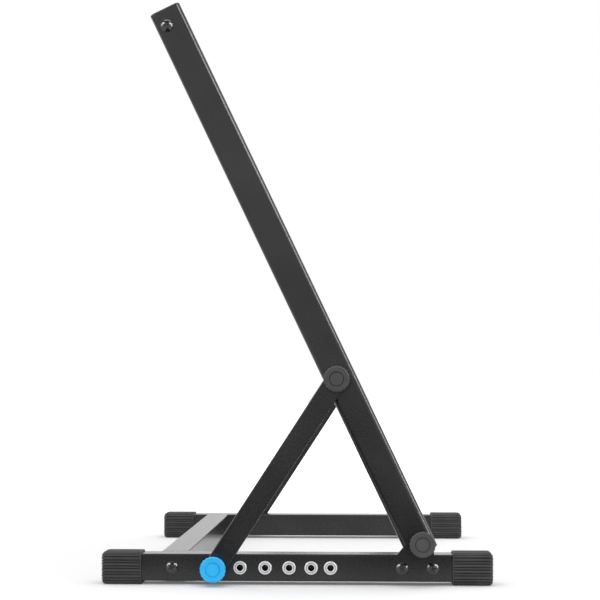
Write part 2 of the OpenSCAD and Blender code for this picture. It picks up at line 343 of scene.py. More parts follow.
# Nylon with glass fibre, moulded in a spark-eroded mould: matt charcoal with a fine sparkle.
BLACK_KNOB = Finish(
    name="glass_filled_nylon_moulded_charcoal",
    slot="black_plastic",
    tones=("#373738", "#464647"),
    drift=9.0,
    grain=0.7,
    relief=(0.04, 0.5),
    rough=(0.5, 0.68),
    ior=1.53,
)

# The same nylon with a pigment through it: an even light blue, a little glossier.
BLUE_KNOB = Finish(
    name="pigmented_nylon_moulded_light_blue",
    slot="blue_plastic",
    tones=("#02aff4", "#10bdfb"),
    drift=11.0,
    grain=0.7,
    relief=(0.03, 0.4),
    rough=(0.42, 0.56),
    ior=1.53,
)

# Steel with bright zinc plating: a pale mirror clouded by the plating's own grain.
BRIGHT_ZINC = Finish(
    name="steel_bright_zinc_plated",
    slot="zinc_steel",
    tones=("#d8d8d9", "#ececed"),
    drift=4.0,
    grain=0.5,
    relief=(0.01, 0.2),
    rough=(0.38, 0.5),
    metallic=1.0,
)

# Steel with black zinc plating and a lacquer: near black, with sharp bright reflections.
BLACK_ZINC = Finish(
    name="steel_black_zinc_lacquered",
    slot="black_steel",
    tones=("#0c0c0d", "#161617"),
    drift=3.0,
    grain=0.5,
    relief=(0.01, 0.2),
    rough=(0.12, 0.18),
    ior=1.75,
)

# Painted shade: a dark grey laid in the nut's tapped bore and its seam groove, where shade falls, broken up by the
# thread.
BORE_SHADE_STEEL = Finish(
    name="steel_tapped_oiled",
    slot="zinc_steel",
    tones=("#1a1a1b", "#2c2b2a"),
    drift=2.0,
    grain=0.6,
    relief=(0.2, 0.8),
    rough=(0.45, 0.7),
)

# Unfilled black nylon, moulded smooth: a softer black than the paint.
BLACK_NYLON = Finish(
    name="nylon_moulded_smooth_black",
    slot="nylon",
    tones=("#262628", "#303032"),
    drift=20.0,
    grain=1.0,
    relief=(0.02, 0.3),
    rough=(0.42, 0.55),
)


class Piece:
    """A mesh on the bench, shaped with Blender's own modelling operators."""

    def __init__(self, name: str, shape: bpy.types.Object) -> None:
        """Takes an object over under a name.

        Args:
            name: The piece's name.
            shape: The mesh object.
        """
        shape.name = name
        shape.data.name = name
        self.shape = shape

    @classmethod
    def block(
        cls, name: str, centre: Numbers, size: Numbers, turn: Numbers = UPRIGHT
    ) -> "Piece":
        """Starts a piece from a block.

        Args:
            name: The piece's name.
            centre: Its middle.
            size: Its three sides.
            turn: Its turn about X, Y and Z in radians.

        Returns:
            The new piece.
        """
        bpy.ops.object.select_all(action="DESELECT")
        bpy.ops.mesh.primitive_cube_add(
            size=1, location=metres(centre), rotation=turn, scale=metres(size)
        )
        return cls(name, bpy.context.object).settle()

    @classmethod
    def between(cls, name: str, low: Numbers, high: Numbers) -> "Piece":
        """Starts a piece from a block between two corners."""
        low, high = Vector(low), Vector(high)
        return cls.block(name, (low + high) / 2, high - low)

    @classmethod
    def rod(
        cls,
        name: str,
        centre: Numbers,
        radius: float,
        length: float,
        sides: int,
        turn: Numbers = UPRIGHT,
    ) -> "Piece":
        """Starts a piece from a round rod along Z.

        Args:
            name: The piece's name.
            centre: Its middle.
            radius: Its radius.
            length: Its length.
            sides: The number of flats round it.
            turn: Its turn about X, Y and Z in radians.

        Returns:
            The new piece.
        """
        bpy.ops.object.select_all(action="DESELECT")
        bpy.ops.mesh.primitive_cylinder_add(
            vertices=sides,
            radius=radius * MM,
            depth=length * MM,
            location=metres(centre),
            rotation=turn,
        )
        return cls(name, bpy.context.object).settle()

    def activate(self) -> None:
        """Makes this piece the only selected object."""
        bpy.ops.object.select_all(action="DESELECT")
        self.shape.select_set(True)
        bpy.context.view_layer.objects.active = self.shape

    def settle(self) -> "Piece":
        """Puts the object's place, turn and scale into its mesh.

        Returns:
            This piece.
        """
        self.activate()
        bpy.ops.object.transform_apply(location=True, rotation=True, scale=True)
        return self

    @contextmanager
    def editing(self) -> Iterator[None]:
        """Opens the mesh in edit mode with nothing selected, and closes it again.

        Yields:
            Nothing.
        """
        self.activate()
        bpy.ops.object.mode_set(mode="EDIT")
        bpy.ops.mesh.select_all(action="DESELECT")
        yield
        bpy.ops.object.mode_set(mode="OBJECT")

    def pick(self, kind: Pick, test: VertTest | EdgeTest | FaceTest) -> None:
        """Selects what passes a test in the open mesh.

        Args:
            kind: The kind of mesh part to test.
            test: Says whether a part is wanted.
        """
        bpy.ops.mesh.select_mode(type=kind.value)
        bpy.ops.mesh.select_all(action="DESELECT")
        mesh = bmesh.from_edit_mesh(self.shape.data)
        mesh.normal_update()
        parts = {Pick.VERT: mesh.verts, Pick.EDGE: mesh.edges, Pick.FACE: mesh.faces}[kind]
        for part in parts:
            if test(part):
                part.select_set(True)
        mesh.select_flush_mode()
        bmesh.update_edit_mesh(self.shape.data)

    def bevel(self, test: EdgeTest, width: float, steps: int) -> "Piece":
        """Rounds the edges that pass a test.

        Args:
            test: Says whether an edge is rounded.
            width: Radius of the rounding.
            steps: Number of facets across it.

        Returns:
            This piece.
        """
        with self.editing():
            self.pick(Pick.EDGE, test)
            bpy.ops.mesh.bevel(
                offset=width * MM, segments=steps, profile=0.5, affect="EDGES", clamp_overlap=True
            )
        return self

    def apply(self, kind: str, **settings: Any) -> "Piece":
        """Adds a modifier and applies it.

        Args:
            kind: Blender's name for the modifier's type.
            **settings: Properties of the modifier.

        Returns:
            This piece.
        """
        self.activate()
        step = self.shape.modifiers.new(kind.lower(), kind)
        for name, value in settings.items():
            setattr(step, name, value)
        bpy.ops.object.modifier_apply(modifier=step.name)
        return self

    def row(self, step: Vector, count: int) -> "Piece":
        """Repeats the mesh in a row with a step."""
        return self.apply(
            "ARRAY",
            count=count,
            use_relative_offset=False,
            use_constant_offset=True,
            constant_offset_displace=step * MM,
        )

    def combine(self, operation: str, other: "Piece") -> "Piece":
        """Works another piece's shape into this one, and clears that piece away.

        Args:
            operation: Blender's name for the boolean.
            other: The other piece.

        Returns:
            This piece.
        """
        self.apply("BOOLEAN", operation=operation, object=other.shape, solver="EXACT")
        other.discard()
        return self

    def cut(self, cutter: "Piece") -> "Piece":
        """Takes another piece's shape out of this one."""
        return self.combine("DIFFERENCE", cutter)

    def fuse(self, other: "Piece") -> "Piece":
        """Adds another piece's shape to this one."""
        return self.combine("UNION", other)

    def wrap(self, others: Sequence["Piece"]) -> "Piece":
        """Takes other pieces into this one and draws one tight skin round them all.

        Args:
            others: The other pieces.

        Returns:
            This piece.
        """
        self.join(others)
        with self.editing():
            bpy.ops.mesh.select_all(action="SELECT")
            bpy.ops.mesh.convex_hull()
        return self.merge_flats()

    def merge_flats(self) -> "Piece":
        """Makes one face of the triangles that lie in one plane.

        Returns:
            This piece.
        """
        with self.editing():
            bpy.ops.mesh.select_all(action="SELECT")
            bpy.ops.mesh.remove_doubles(threshold=WELD)
            bpy.ops.mesh.dissolve_limited(angle_limit=math.radians(FLAT))
        return self

    def join(self, others: Sequence["Piece"]) -> "Piece":
        """Takes other pieces into this one as further shells.

        Args:
            others: The other pieces.

        Returns:
            This piece.
        """
        self.activate()
        for other in others:
            other.shape.select_set(True)
        bpy.ops.object.join()
        return self

    def copy(self, name: str, place: Matrix) -> "Piece":
        """Makes a copy with its own mesh at another place.

        Args:
            name: The copy's name.
            place: The matrix that moves this piece to it.

        Returns:
            The copy.
        """
        self.activate()
        bpy.ops.object.duplicate(linked=False)
        twin = Piece(name, bpy.context.object)
        twin.shape.matrix_world = place
        return twin.settle()

    def copies(self, name: str, places: Sequence[Matrix]) -> "Piece":
        """Makes one piece of a copy at each of several places."""
        twins = [self.copy(f"{name}_{i}", place) for i, place in enumerate(places)]
        return Piece(name, twins[0].join(twins[1:]).shape)

    def discard(self) -> None:
        """Clears the piece off the bench."""
        mesh = self.shape.data
        bpy.data.objects.remove(self.shape)
        bpy.data.meshes.remove(mesh)

    def soften(
        self, width: float, steps: int = 2, angle: float = 50.0, clamp: bool = True
    ) -> "Piece":
        """Breaks every edge that is sharper than an angle.

        Args:
            width: How far the bevel reaches.
            steps: Number of facets across it.
            angle: The angle in degrees.
            clamp: Whether short edges hold the bevel back.

        Returns:
            This piece.
        """
        return self.apply(
            "BEVEL",
            width=width * MM,
            segments=steps,
            limit_method="ANGLE",
            angle_limit=math.radians(angle),
            use_clamp_overlap=clamp,
        )

    def smooth(self, angle: float = 35.0) -> "Piece":
        """Shades the curves smooth and keeps the flats flat.

        Args:
            angle: The angle in degrees above which an edge stays sharp.

        Returns:
            This piece.
        """
        self.activate()
        bpy.ops.object.shade_smooth_by_angle(angle=math.radians(angle))
        return self.apply("WEIGHTED_NORMAL", keep_sharp=True)

    def coat(self, finish: Finish, test: FaceTest | None = None) -> "Piece":
        """Puts a finish on the whole piece, or on the faces that pass a test.

        Args:
            finish: What the surface is.
            test: Says whether a face gets the finish.

        Returns:
            This piece.
        """
        self.shape.data.materials.append(finish.material())
        if test:
            with self.editing():
                self.pick(Pick.FACE, test)
                self.shape.active_material_index = len(self.shape.data.materials) - 1
                bpy.ops.object.material_slot_assign()
        return self

    def deliver(self, finish: Finish, body: str, *nodes: str) -> None:
        """Dresses the piece and hands it to the frame.

        Args:
            finish: What its surface is, where it has none yet.
            body: The CAD body that carries it.
            *nodes: The CAD nodes that it stands for.
        """
        if not self.shape.data.materials:
            self.coat(finish)
        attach(self.shape, body)
        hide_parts(*nodes)
        log.info("%s in %s rides on %s", self.shape.name, finish.name, body)


def runs_along(axis: Vector, least: float = 0.999) -> EdgeTest:
    """Gives a test for edges that run along an axis."""
    return lambda edge: abs((edge.verts[1].co - edge.verts[0].co).normalized().dot(axis)) > least


def edges_past(axis: Vector, level: float) -> EdgeTest:
    """Gives a test for edges that lie at a level along an axis, or past it."""
    return lambda edge: all(v.co.dot(axis) > level * MM - HAIR for v in edge.verts)


def faces_to(axis: Vector, least: float = 0.99) -> FaceTest:
    """Gives a test for faces whose normal lies near an axis."""
    return lambda face: face.normal.dot(axis) > least


def inset(width: float, rise: float = 0.0) -> None:
    """Draws the picked face in by a width and out by a rise."""
    bpy.ops.mesh.inset(thickness=width * MM, depth=rise * MM)


def sink_ring(margin: float, width: float, depth: float, wall: float) -> None:
    """Sinks a ring groove into the picked round face, and leaves the disc inside it picked.

    Args:
        margin: Distance of the groove from the face's rim.
        width: The groove's width.
        depth: Its depth.
        wall: How far each of its walls leans in.
    """
    inset(margin)
    inset(wall, -depth)
    inset(width - 2 * wall)
    inset(wall, depth)


@dataclass(frozen=True)
class Linkage:
    """Where the arms, struts and holes of the base are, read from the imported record."""

    pivot: Vector
    strut_top: Vector
    strut_foot: Vector
    lean: float
    tilt: float
    settings: int = 6

    @classmethod
    def from_frame(cls) -> "Linkage":
        """Reads the linkage from the record's joints and rack hole mounts.

        Returns:
            The linkage at rest.
        """
        joints = {row["name"]: row for row in frame["joints"]}
        mounts = {row["name"]: row for row in frame["record"]["mounts"]}
        front = mounts["left_lower_rack_hole"]["axis"]
        pivot, strut_top, strut_foot = (
            Vector(joints[name]["pos_m"]) / MM
            for name in ("arm_tilt", "right_strut_swing", "right_angle_knob_turn")
        )
        lean = math.atan2(front[2], front[0])
        tilt = math.radians(joints["arm_tilt"]["range_deg"][1])
        return cls(pivot, strut_top, strut_foot, lean, tilt)

    @property
    def along(self) -> Vector:
        """The way up along the arms."""
        return Vector((-math.sin(self.lean), 0, math.cos(self.lean)))

    @property
    def across(self) -> Vector:
        """The way out of the front faces of the arms."""
        return Vector((math.cos(self.lean), 0, math.sin(self.lean)))

    def arm_point(self, along: float, across: float, y: float) -> Vector:
        """Gives a point on an arm.

        Args:
            along: Distance up the arm from its pivot.
            across: Distance towards the arm's front from its pivot.
            y: Distance to the right of the middle plane.

        Returns:
            The point.
        """
        place = self.pivot + along * self.along + across * self.across
        return Vector((place.x, y, place.z))

    def angle_holes(self) -> list[float]:
        """Gives the X of each hole that a strut's foot can be screwed to.

        Returns:
            The places, from the rear to the front.
        """
        reach = self.strut_top - self.pivot
        span = Vector((self.strut_top - self.strut_foot).xz).length
        places = []
        for step in range(self.settings):
            turn = Matrix.Rotation(self.tilt * step / (self.settings - 1), 3, "Y")
            top = self.pivot + turn @ reach
            rise = top.z - self.strut_foot.z
            places.append(top.x - math.sqrt(span**2 - rise**2))
        return places


@dataclass
class BaseFrame:
    """The two base tubes and the rear crossbar between them."""

    linkage: Linkage
    corner: float = 1.4
    nut_seat: float = 4.4
    nut_depth: float = 12.0

    def tube(self, name: str, node: str, axis: Vector) -> Piece:
        """Models a square tube with rolled corners, which runs along an axis, for a node."""
        bar = Piece.between(name, *node_box(node))
        return bar.bevel(runs_along(axis), self.corner, steps=5)

    def build(self) -> None:
        """Models the tubes with their nut seats, and the crossbar."""
        size = (self.nut_seat, 2 * self.nut_depth)
        level = self.linkage.strut_foot.z
        for side in Side:
            node = f"{side}_base_tube"
            bar = self.tube(f"{side}_square_tube", node, X_AXIS)
            face = side.value * outer_reach(node)
            seats = [
                Piece.rod("seat", (x, face, level), *size, sides=32, turn=LYING)
                for x in self.linkage.angle_holes()
            ]
            bar.cut(seats[0].join(seats[1:]))
            bar.smooth().deliver(POWDER_COAT, "base", node)
        bar = self.tube("rear_square_tube", "rear_crossbar", Y_AXIS)
        bar.smooth().deliver(POWDER_COAT, "base", "rear_crossbar")


@dataclass
class Feet:
    """The ribbed rubber caps on the ends of the base tubes."""

    pattern: str = "right_front_foot"
    corner: float = 4.6
    end_round: float = 4.4
    mouth_round: float = 0.6
    groove_width: float = 1.2
    groove_depth: float = 1.6
    pair_gap: float = 2.3
    pair_pitch: float = 5.45
    pairs: int = 5
    side_lift: float = 0.9
    collar: float = 0.9

    def grooves(self, low: Vector, high: Vector) -> tuple[Piece, Piece]:
        """Lays the groove cutters round the sides and end of a foot, and along its top.

        Args:
            low: The foot's lowest corner.
            high: Its highest corner.

        Returns:
            The cutters round the foot and those along its top.
        """
        middle = (low + high) / 2
        first = (self.pairs - 1) / 2 * self.pair_pitch
        deep, half = self.groove_depth, self.groove_width / 2
        start, end = low.x + self.collar, high.x
        bands, slots = [], []
        for aside in (-self.pair_gap / 2, self.pair_gap / 2):
            level = middle.z + self.side_lift - first + aside
            corner = (start, low.y - deep, level - half)
            band = Piece.between("band", corner, (end + deep, high.y + deep, level + half))
            corner = (start - deep, low.y + deep, level - 2 * half)
            core = Piece.between("core", corner, (end - deep, high.y - deep, level + 2 * half))
            bands.append(band.cut(core).row(Z_AXIS * self.pair_pitch, self.pairs))
            y = middle.y - first + aside
            corner = (start, y - half, high.z - deep)
            slot = Piece.between("slot", corner, (end + deep, y + half, high.z + deep))
            slots.append(slot.row(Y_AXIS * self.pair_pitch, self.pairs))
        return bands[0].join(bands[1:]), slots[0].join(slots[1:])

    def model(self) -> Piece:
        """Models the foot that the others are copies of.

        Returns:
            The foot.
        """
        low, high = node_box(self.pattern)
        foot = Piece.between("ribbed_foot", low, high)
        foot.bevel(runs_along(X_AXIS), self.corner, steps=5)
        foot.bevel(edges_past(X_AXIS, high.x), self.end_round, steps=4)
        foot.bevel(edges_past(-X_AXIS, -low.x), self.mouth_round, steps=2)
        for cutters in self.grooves(low, high):
            foot.cut(cutters)
        return foot.smooth(angle=30.0)

    def build(self) -> None:
        """Models one foot and sets a copy on each tube end."""
        master = self.model()
        to_origin = Matrix.Translation(metres(-node_middle(self.pattern)))
        for side in Side:
            for end, turn in (("front", 0), ("rear", math.pi)):
                node = f"{side}_{end}_foot"
                there = Matrix.Translation(metres(node_middle(node)))
                place = there @ Matrix.Rotation(turn, 4, "Z") @ to_origin
                foot = master.copy(f"{side}_{end}_ribbed_foot", place)
                foot.deliver(MOULDED_RUBBER, "base", node)
        master.discard()


@dataclass
class PivotBrackets:
    """The lobed plates that hold the arms' pivots.

    The wing's rear lobe is drawn a little inside the plate's, so that their skins cross cleanly.
    """

    linkage: Linkage
    lobe: float = 11.8
    wing_share: float = 0.985
    tip: float = 10.8
    heel: float = 0.6
    edge: float = 0.5

    def model(self, side: Side) -> Piece:
        """Models a plate from its round lobes and the webs between them.

        Args:
            side: The side of the stand.

        Returns:
            The plate.
        """
        low, high = node_box(f"{side}_pivot_bracket")
        y, thick = (low.y + high.y) / 2, high.y - low.y
        z = low.z + self.lobe
        pivot = self.linkage.pivot

        def disc(x: float, z: float, radius: float, sides: int = 72) -> Piece:
            """Lays a disc of the plate's thickness."""
            return Piece.rod("disc", (x, y, z), radius, thick, sides, LYING)

        plate = disc(low.x + self.lobe, z, self.lobe)
        plate.wrap([disc(high.x - self.lobe, z, self.lobe)])
        wing = disc(low.x + self.lobe, z, self.wing_share * self.lobe)
        tip = disc(pivot.x, pivot.z, self.tip, sides=64)
        heel = disc(pivot.x + self.tip - self.heel, z, self.heel, sides=16)
        plate.fuse(wing.wrap([tip, heel])).merge_flats()
        return plate.soften(self.edge, steps=3).smooth()

    def build(self) -> None:
        """Models both plates."""
        for side in Side:
            plate = Piece(f"{side}_lobed_plate", self.model(side).shape)
            plate.deliver(POWDER_COAT, "base", f"{side}_pivot_bracket")


@dataclass
class Screws:
    """The pan head screws with a cross recess, in the crossbars and the brackets.

    Rings are the radii of the facets across the dome, and spins are the degrees to which each
    screw is turned.
    """

    radius: float = 5.6
    wall: float = 1.3
    height: float = 3.6
    dome: float = 8.0
    rings: Numbers = (5.35, 4.9, 4.2, 3.3, 2.2, 1.1)
    slot_length: float = 6.4
    slot_width: float = 1.5
    slot_depth: float = 2.2
    slot_taper: float = 0.8
    edge: float = 0.12
    rear_spins: Span = (28, 61)
    top_spins: Span = (10, 47)
    bracket_spins: tuple[Span, Span] = ((52, 20), (12, 75))

    def model(self) -> Piece:
        """Models a screw head at the origin, with Z out of its hole.

        Returns:
            The head.
        """
        head = Piece.rod("pan_head", (0, 0, self.wall / 2), self.radius, self.wall, sides=64)
        last_r, last_z = self.radius, self.wall
        with head.editing():
            head.pick(Pick.FACE, faces_to(Z_AXIS))
            for ring in self.rings:
                level = self.height - self.dome + math.sqrt(self.dome**2 - ring**2)
                inset(last_r - ring, level - last_z)
                last_r, last_z = ring, level
        head.cut(self.recess())
        return head.soften(self.edge).smooth(angle=40.0)

    def recess(self) -> Piece:
        """Models the tapered cross that is punched into a head.

        Returns:
            The cross.
        """
        bars = []
        size = (self.slot_length, self.slot_width, 2 * self.slot_depth)
        for turn in (0.0, math.pi / 2):
            bar = Piece.block("cross_bar", (0, 0, self.height), size, (0, 0, turn))
            with bar.editing():
                bar.pick(Pick.FACE, faces_to(-Z_AXIS))
                bpy.ops.transform.resize(value=(self.slot_taper, self.slot_taper, 1))
            bars.append(bar)
        return bars[0].fuse(bars[1])

    def seats(self) -> Iterator[tuple[str, str, list[Matrix]]]:
        """Finds the places of the heads.

        Yields:
            A node, the body that carries it, and the places of its heads.
        """
        for node, body, spins in (
            ("rear_crossbar_screws", "base", self.rear_spins),
            ("top_crossbar_screws", "arm_frame", self.top_spins),
        ):
            x, _, z = node_middle(node)
            y = outer_reach(node) - self.height
            yield node, body, [side.outward((x, y, z), spin) for side, spin in zip(Side, spins)]
        for side, spins in zip(Side, self.bracket_spins):
            node = f"{side}_bracket_screws"
            low, high = node_box(node)
            y = outer_reach(node) - self.height
            z = (low.z + high.z) / 2
            xs = (low.x + self.radius, high.x - self.radius)
            yield node, "base", [side.outward((x, y, z), spin) for x, spin in zip(xs, spins)]

    def build(self) -> None:
        """Sets copies of one head on the crossbars' ends and on the brackets."""
        master = self.model()
        for node, body, places in self.seats():
            heads = master.copies(node.replace("screws", "screw_heads"), places)
            heads.deliver(BLACK_ZINC, body, node)
        master.discard()


@dataclass
class RivetNuts:
    """The bright rivet nuts in the base tubes, which the angle knobs screw into.

    Slack is how far a point may lie from a circle and still count as on it.
    """

    linkage: Linkage
    flange: float = 6.1
    flange_height: float = 1.2
    flange_round: float = 0.35
    body: float = 4.5
    body_length: float = 9.0
    seam_radius: float = 4.65
    seam_width: float = 0.5
    seam_depth: float = 0.45
    seam_wall: float = 0.05
    seam_top: float = 0.1
    bore: float = 3.0
    bore_lip: float = 0.25
    bore_slack: float = 0.05
    slack: float = 0.02

    def model(self) -> Piece:
        """Models a nut at the origin, with Z out of the tube.

        Returns:
            The nut.
        """
        middle = (0, 0, self.flange_height / 2)
        nut = Piece.rod("rivet_nut", middle, self.flange, self.flange_height, sides=64)
        with nut.editing():
            nut.pick(Pick.FACE, faces_to(-Z_AXIS))
            inset(self.flange - self.body)
            bpy.ops.mesh.extrude_region_move(
                TRANSFORM_OT_translate={"value": (0, 0, -self.body_length * MM)}
            )
            nut.pick(Pick.FACE, faces_to(Z_AXIS))
            margin = self.flange - self.seam_radius
            sink_ring(margin, self.seam_width, self.seam_depth, self.seam_wall)
        nut.cut(Piece.rod("bore", ORIGIN, self.bore, 4 * self.body_length, sides=48))
        nut.bevel(self.on_rim(self.flange), self.flange_round, steps=4)
        nut.bevel(self.on_rim(self.bore), self.bore_lip, steps=3)
        # The bore and the seam groove get a dark grey finish that is painted shade.
        return nut.smooth(angle=40.0).coat(BRIGHT_ZINC).coat(BORE_SHADE_STEEL, self.in_thread)

    def on_rim(self, radius: float) -> EdgeTest:
        """Gives a test for edges on a circle of the nut's outer face.

        Args:
            radius: The circle's radius.

        Returns:
            The test.
        """
        on_face = edges_past(Z_AXIS, self.flange_height)

        def test(edge: Edge) -> bool:
            """Says whether the edge lies on the circle."""
            gaps = (abs(math.hypot(v.co.x, v.co.y) - radius * MM) for v in edge.verts)
            return on_face(edge) and all(gap < self.slack * MM for gap in gaps)

        return test

    def in_thread(self, face: Face) -> bool:
        """Says whether a face belongs to the thread of the bore or to the seam round it, the faces that get
        painted shade.

        Args:
            face: A face of the nut.

        Returns:
            Whether it does.
        """
        middle = face.calc_center_median()
        reach = math.hypot(middle.x, middle.y) / MM
        depth = self.flange_height - middle.z / MM
        in_bore = reach < self.bore + self.bore_slack and depth > self.bore_lip
        in_seam = self.seam_radius - self.seam_width < reach < self.seam_radius
        return in_bore or (in_seam and depth > self.seam_top)

    def build(self) -> None:
        """Sets copies of one nut along both base tubes."""
        master = self.model()
        z = self.linkage.strut_foot.z
        for side in Side:
            node = f"{side}_angle_nuts"
            y = outer_reach(node) - self.flange_height
            places = [side.outward((x, y, z)) for x in self.linkage.angle_holes()]
            nuts = master.copies(f"{side}_angle_rivet_nuts", places)
            nuts.deliver(BRIGHT_ZINC, "base", node)
        master.discard()


@dataclass
class Arms:
    """The two leaning arms with their rows of rack holes, their caps and the top crossbar."""

    linkage: Linkage
    depth: float = 29.4
    reach: float = 542.8
    toe: float = 8.2
    toe_pocket: float = 40.0
    toe_facing: float = 0.7
    rear: float = 17.5
    wall: float = 2.5
    corner: float = 4.8
    edge: float = 0.25
    cap_height: float = 1.6
    cap_round: float = 1.1
    bar_side: float = 20.0
    bar_corner: float = 2.0
    hole_radius: float = 2.5
    hole_depth: float = 9.0
    hole_first: float = 35.1
    hole_step: float = 15.875
    holes: int = 3
    unit: float = 44.45
    units: int = 11

    @property
    def turn(self) -> Place:
        """The turn of a block that stands along the arms."""
        return (0.0, -self.linkage.lean, 0.0)

    def slab(self, name: str, side: Side, start: float, end: float) -> Piece:
        """Models a length of an arm's outer section with rounded corners.

        Args:
            name: The piece's name.
            side: The side of the stand.
            start: Where it starts along the arm.
            end: Where it ends.

        Returns:
            The length of section.
        """
        low, high = node_box(f"{side}_arm")
        middle = self.linkage.arm_point(
            (start + end) / 2, self.depth / 2 - self.rear, (low.y + high.y) / 2
        )
        size = (self.depth, high.y - low.y, end - start)
        slab = Piece.block(name, middle, size, self.turn)
        return slab.bevel(runs_along(self.linkage.along), self.corner, steps=8)

    def rack_drill(self, y: float) -> Piece:
        """Lays the cutters of a row of rack holes, three to a rack unit.

        Args:
            y: The row's distance to the right of the middle plane.

        Returns:
            The cutters as one piece.
        """
        start = self.linkage.arm_point(self.hole_first, self.depth - self.rear, y)
        turn = (0, math.pi / 2 - self.linkage.lean, 0)
        size = (self.hole_radius, 2 * self.hole_depth)
        drill = Piece.rod("drill", start, *size, sides=24, turn=turn)
        drill.row(self.linkage.along * self.hole_step, self.holes)
        return drill.row(self.linkage.along * self.unit, self.units)

    def model_arm(self, side: Side) -> Piece:
        """Models an arm: its section, level toe, hollow end and rack holes.

        Args:
            side: The side of the stand.

        Returns:
            The arm.
        """
        along = self.linkage.along
        arm = self.slab(f"{side}_leaning_arm", side, -self.toe, self.reach)
        level = self.linkage.pivot - Vector((0, 0, self.toe))
        with arm.editing():
            bpy.ops.mesh.select_all(action="SELECT")
            bpy.ops.mesh.bisect(
                plane_co=metres(level), plane_no=(0, 0, 1), use_fill=True, clear_inner=True
            )
            arm.pick(Pick.FACE, faces_to(-along, self.toe_facing))
            inset(self.wall)
            bpy.ops.mesh.extrude_region_move(
                TRANSFORM_OT_translate={"value": along * self.toe_pocket * MM}
            )
        arm.cut(self.rack_drill(node_middle(f"{side}_arm").y))
        return arm.soften(self.edge).smooth()

    def model_cap(self, side: Side) -> Piece:
        """Models the cap in an arm's top end.

        Args:
            side: The side of the stand.

        Returns:
            The cap.
        """
        top = self.reach + self.cap_height
        cap = self.slab(f"{side}_arm_end_cap", side, self.reach, top)
        with cap.editing():
            cap.pick(Pick.FACE, faces_to(self.linkage.along))
            bpy.ops.mesh.bevel(offset=self.cap_round * MM, segments=4, affect="EDGES")
        return cap.smooth()

    def model_bar(self) -> Piece:
        """Models the square top crossbar.

        Returns:
            The crossbar.
        """
        low, high = node_box("top_crossbar")
        size = (self.bar_side, high.y - low.y, self.bar_side)
        bar = Piece.block("top_square_tube", (low + high) / 2, size, self.turn)
        return bar.bevel(runs_along(Y_AXIS), self.bar_corner, steps=5).smooth()

    def build(self) -> None:
        """Models both arms, their caps and the crossbar between them."""
        for side in Side:
            self.model_arm(side).deliver(POWDER_COAT, "arm_frame", f"{side}_arm")
            self.model_cap(side).deliver(BLACK_NYLON, "arm_frame", f"{side}_arm_cap")
        self.model_bar().deliver(POWDER_COAT, "arm_frame", "top_crossbar")


@dataclass
class Struts:
    """The flat struts that prop the arms.

    End gap is the flat that is left between the two roundings of an end.
    """

    linkage: Linkage
    width: float = 19.5
    end_gap: float = 0.01
    edge: float = 1.1
    hole: float = 3.1

    def model(self, side: Side) -> Piece:
        """Models a flat bar with round ends and a hole in each.

        Args:
            side: The side of the stand.

        Returns:
            The bar.
        """
        low, high = node_box(f"{side}_strut")
        y, thick = (low.y + high.y) / 2, high.y - low.y
        foot, top = (
            Vector((end.x, y, end.z)) for end in (self.linkage.strut_foot, self.linkage.strut_top)
        )
        run = top - foot
        turn = (0, math.atan2(run.x, run.z), 0)
        size = (self.width, thick, run.length + self.width)
        bar = Piece.block(f"{side}_flat_strut", (foot + top) / 2, size, turn)
        bar.bevel(runs_along(Y_AXIS), self.width / 2 - self.end_gap, steps=16)
        for end in (foot, top):
            bar.cut(Piece.rod("hole", end, self.hole, 2 * thick, sides=32, turn=LYING))
        return bar.soften(self.edge, steps=4, clamp=False).smooth()

    def build(self) -> None:
        """Models both struts."""
        for side in Side:
            bar = self.model(side)
            bar.deliver(POWDER_COAT, f"{side}_strut_bar", f"{side}_strut")


